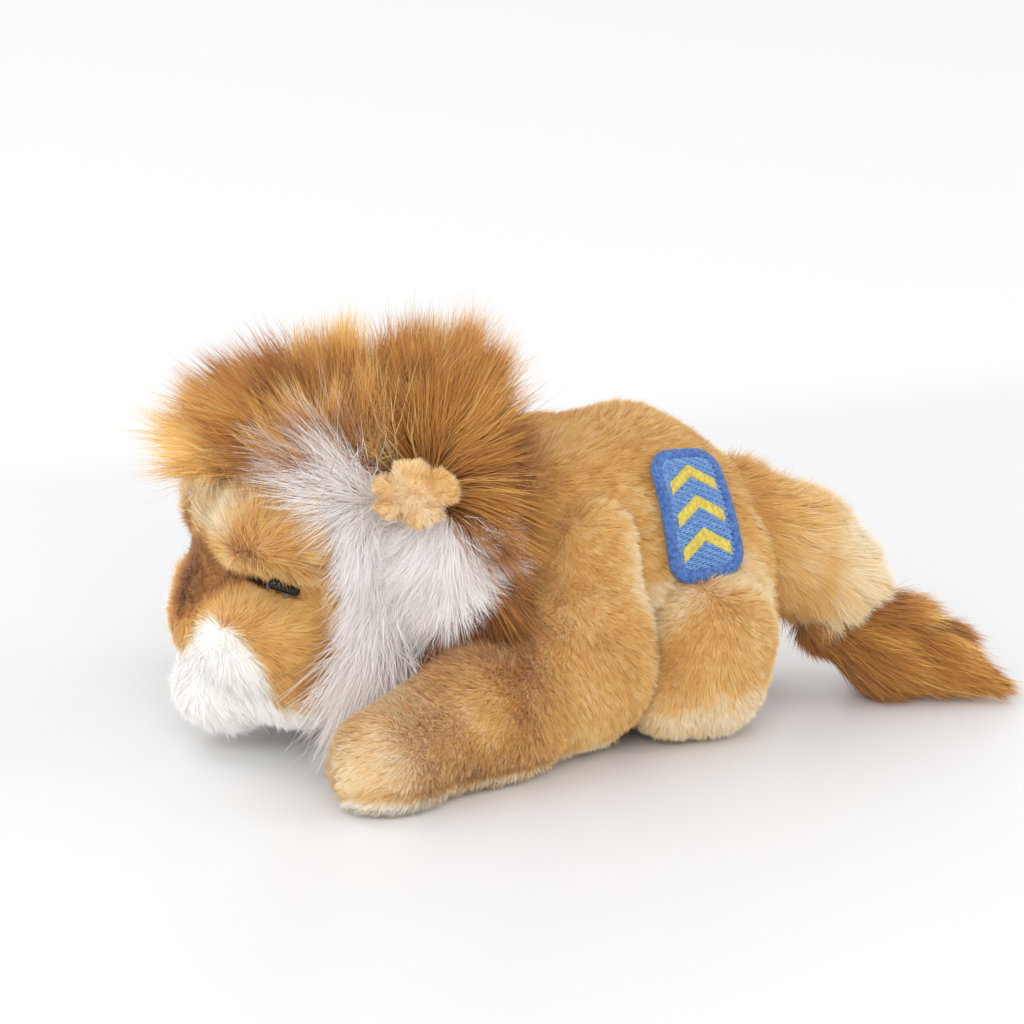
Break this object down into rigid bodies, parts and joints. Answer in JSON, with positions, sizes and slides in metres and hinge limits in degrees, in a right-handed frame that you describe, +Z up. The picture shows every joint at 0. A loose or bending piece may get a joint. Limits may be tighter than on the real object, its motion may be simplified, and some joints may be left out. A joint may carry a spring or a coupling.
{
  "type": "plush lion",
  "caption": "Stuffed toy lion lying flat on its belly, with a long-haired mane and ruff, sewn limbs that swing and a tufted tail.",
  "frame": {"origin": "on the flat patch of belly that the toy rests on, in its middle plane", "axes": "+X towards the tail, -X where the face looks, -Y the toy's left side, +Z up"},
  "size_m": [0.3195, 0.2072, 0.1585],
  "materials": {
    "coat": "short dense golden pile",
    "cream": "short cream pile",
    "bridge": "very short tan pile",
    "white": "short white pile",
    "mane": "long combed brown pile",
    "ruff": "long pale pile",
    "stuffing": "loose white fibre",
    "eye": "polished black",
    "washer": "plain",
    "patch": "satin embroidery thread"
  },
  "bodies": {
    "torso": {"torso_skin": "coat", "torso_stuffing": "stuffing", "hip_patch": "patch"},
    "head": {"head_skin": "coat", "nose_bridge": "bridge", "chin": "white", "head_stuffing": "stuffing", "mane": "mane", "eye_left": "eye", "eye_right": "eye", "eye_washer_left": "washer", "eye_washer_right": "washer", "ear_left": "coat", "ear_right": "coat", "ear_lining_left": "cream", "ear_lining_right": "cream", "ruff_left": "ruff", "ruff_right": "ruff"},
    "foreleg_left": {"foreleg_skin_left": "coat", "foreleg_sole_left": "coat", "foreleg_stuffing_left": "stuffing"},
    "foreleg_right": {"foreleg_skin_right": "coat", "foreleg_sole_right": "coat", "foreleg_stuffing_right": "stuffing"},
    "hind_leg_left": {"hind_leg_skin_left": "coat", "hind_leg_stuffing_left": "stuffing"},
    "hind_leg_right": {"hind_leg_skin_right": "coat", "hind_leg_stuffing_right": "stuffing"},
    "tail": {"tail_skin": "coat", "tail_stuffing": "stuffing", "tail_tuft": "mane"}
  },
  "joints": [
    {"name": "head_lift", "type": "hinge", "parent": "torso", "child": "head", "pos_m": [-0.046, 0, 0.062], "axis": [0, 1, 0], "range_deg": [0, 10]},
    {"name": "foreleg_swing_left", "type": "hinge", "parent": "torso", "child": "foreleg_left", "pos_m": [0.002, -0.04, 0.04], "axis": [0, 0, 1], "range_deg": [0, 25]},
    {"name": "foreleg_swing_right", "type": "hinge", "parent": "torso", "child": "foreleg_right", "pos_m": [0.002, 0.04, 0.04], "axis": [0, 0, -1], "range_deg": [0, 25]},
    {"name": "hind_leg_swing_left", "type": "hinge", "parent": "torso", "child": "hind_leg_left", "pos_m": [0.056, -0.038, 0.03], "axis": [0, 0, 1], "range_deg": [0, 20]},
    {"name": "hind_leg_swing_right", "type": "hinge", "parent": "torso", "child": "hind_leg_right", "pos_m": [0.056, 0.038, 0.03], "axis": [0, 0, -1], "range_deg": [0, 20]},
    {"name": "tail_swing", "type": "hinge", "parent": "torso", "child": "tail", "pos_m": [0.077, 0, 0.074], "axis": [0, 0, 1], "range_deg": [-20, 20]}
  ]
}
